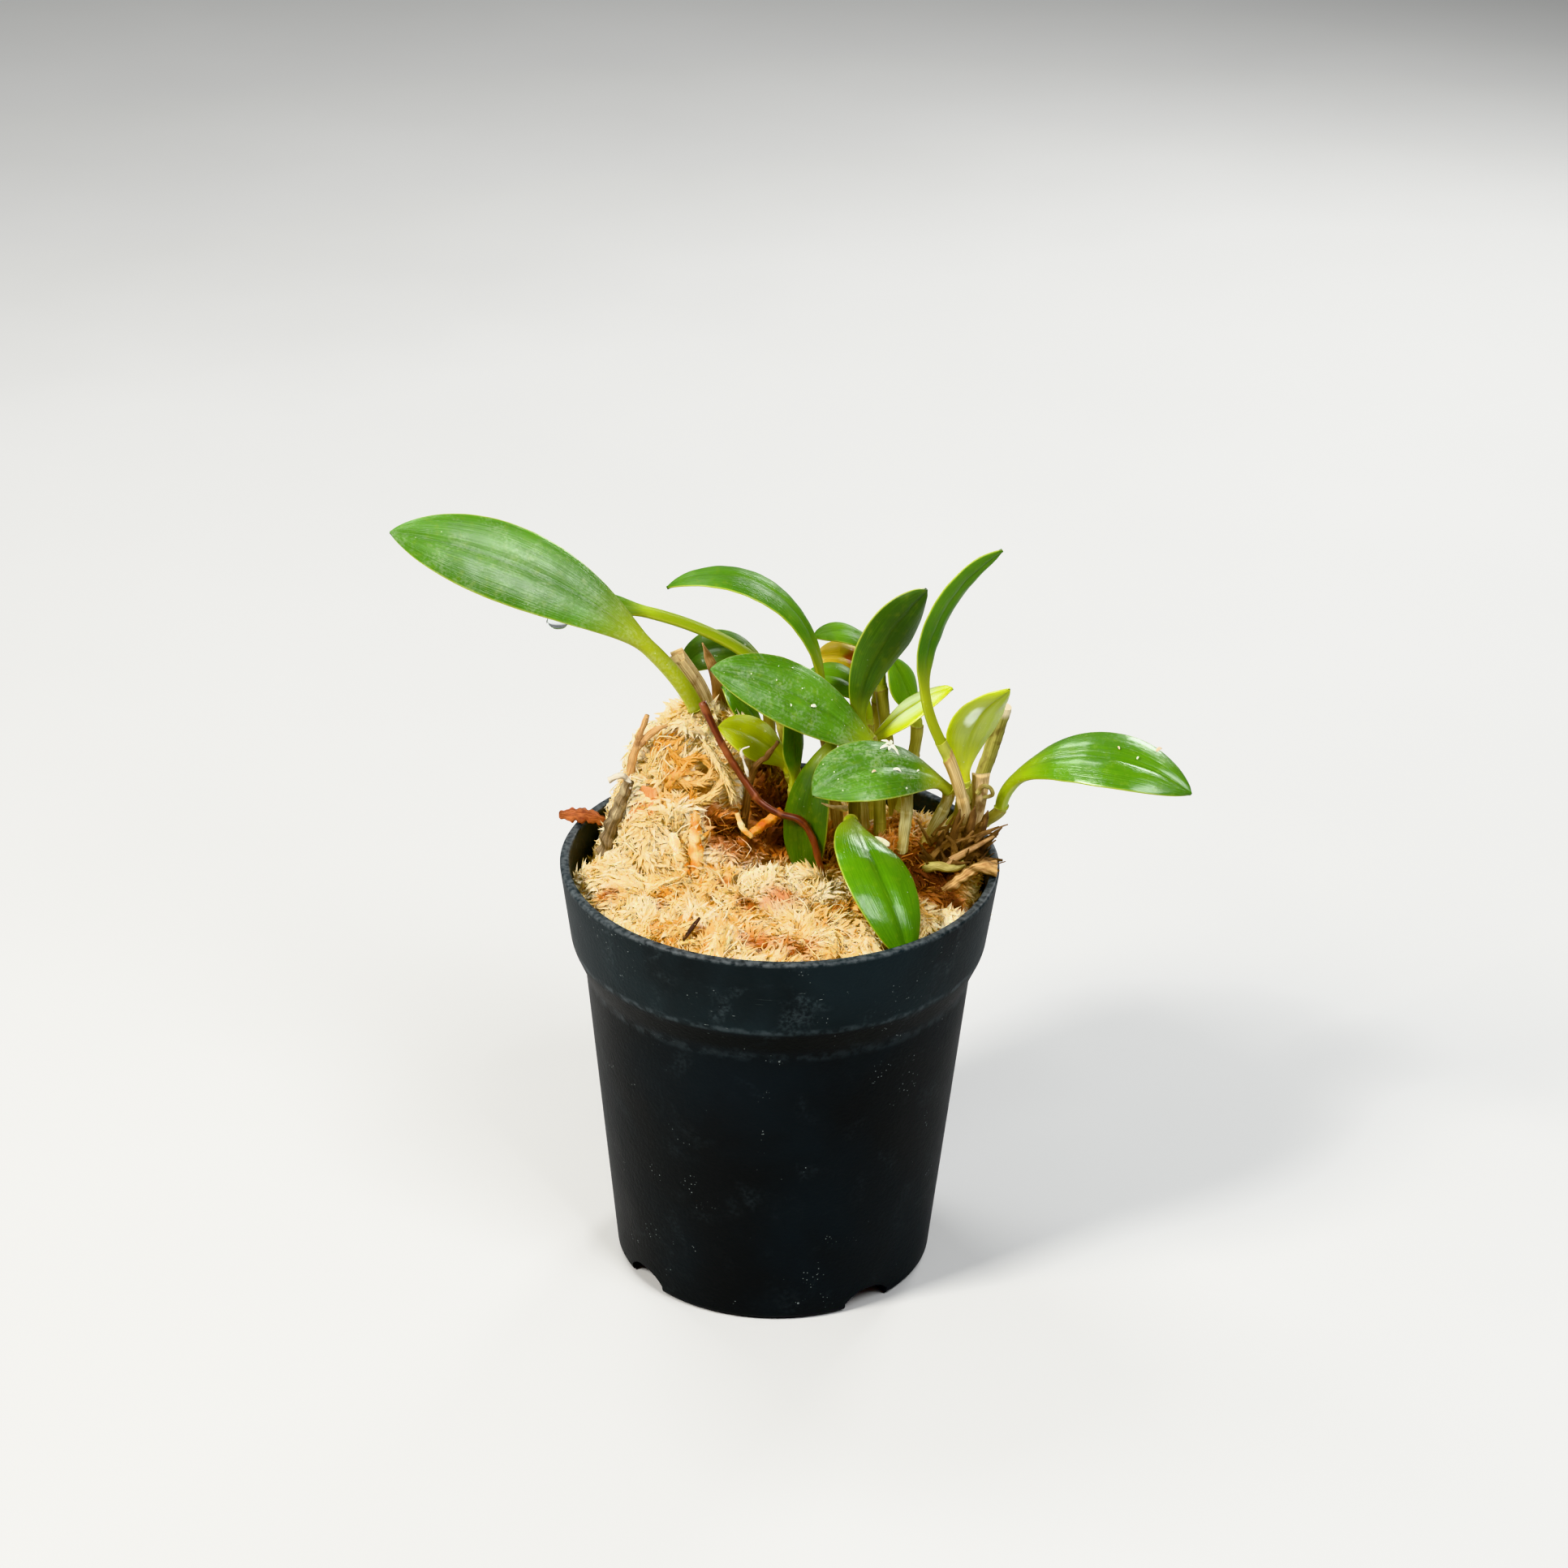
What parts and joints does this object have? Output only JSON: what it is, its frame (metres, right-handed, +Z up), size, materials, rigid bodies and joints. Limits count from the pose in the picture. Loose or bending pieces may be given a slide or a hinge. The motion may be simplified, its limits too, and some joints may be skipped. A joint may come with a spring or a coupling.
{
  "type": "potted miniature orchid",
  "caption": "Small tufted orchid with leathery single leaves on thin sheathed stems, growing in fibrous moss in a small round nursery pot that stands on its flat base.",
  "frame": {"origin": "centre of the pot's flat underside", "axes": "+Z up along the pot's axis; -Y is the front, towards the viewer of the picture; +X is to that viewer's right"},
  "size_m": [0.0904, 0.05, 0.0884],
  "materials": {
    "pot_plastic": "satin black moulded plastic, dusty and scuffed",
    "moss": "long straw and golden sphagnum fibres, damp and matt",
    "leaf_green": "leathery green leaf with a satin sheen",
    "leaf_lime": "thin glossy yellow-green leaf",
    "leaf_yellow": "yellowing leaf with an orange-brown spot",
    "stem_olive": "olive to yellow-green leafy stem, satin",
    "sheath_tan": "dry tan papery sheath",
    "dry_brown": "dry brown papery old growth",
    "wiry_red": "dark red-brown wiry stem",
    "bark_orange": "red-orange fibrous bark"
  },
  "bodies": {
    "root": {"pot": "pot_plastic", "moss": "moss", "leaf_left_large": "leaf_green", "leaf_left_arched": "leaf_green", "leaf_back_left": "leaf_green", "leaf_back_long": "leaf_green", "leaf_back_small": "leaf_green", "leaf_yellowing": "leaf_yellow", "leaf_back_low": "leaf_green", "leaf_upright": "leaf_green", "leaf_tall": "leaf_green", "leaf_pale": "leaf_lime", "leaf_behind_pale": "leaf_green", "leaf_cupped": "leaf_lime", "leaf_right_large": "leaf_green", "leaf_front_left": "leaf_green", "leaf_front_flat": "leaf_green", "leaf_hanging": "leaf_green", "leaf_drooping": "leaf_green", "leaf_low_yellow": "leaf_lime", "leaf_low_green": "leaf_green", "leaf_low_glossy": "leaf_green", "stem_left_large": "sheath_tan", "stem_left_arched": "stem_olive", "stem_back_left": "stem_olive", "stem_back_long": "sheath_tan", "stem_back_small": "stem_olive", "stem_yellowing": "stem_olive", "stem_back_low": "stem_olive", "stem_upright": "stem_olive", "stem_tall": "sheath_tan", "stem_pale": "stem_olive", "stem_behind_pale": "stem_olive", "stem_cupped": "stem_olive", "stem_right_large": "stem_olive", "stem_front_left": "stem_olive", "stem_front_flat": "stem_olive", "stem_hanging": "stem_olive", "stem_drooping": "stem_olive", "stem_low_yellow": "stem_olive", "stem_low_green": "stem_olive", "stem_low_glossy": "stem_olive", "cut_stump_left": "sheath_tan", "spiky_stub": "sheath_tan", "antler_bit": "sheath_tan", "crusted_stub": "dry_brown", "bark_sliver": "bark_orange", "wiry_stem": "wiry_red", "brown_twig": "dry_brown", "cut_stump_right": "stem_olive", "sheath_stub_right": "sheath_tan", "crown_sheaths": "dry_brown", "pointed_stalk": "sheath_tan", "tan_stub_right": "sheath_tan", "dark_sliver": "dry_brown"}
  },
  "joints": []
}
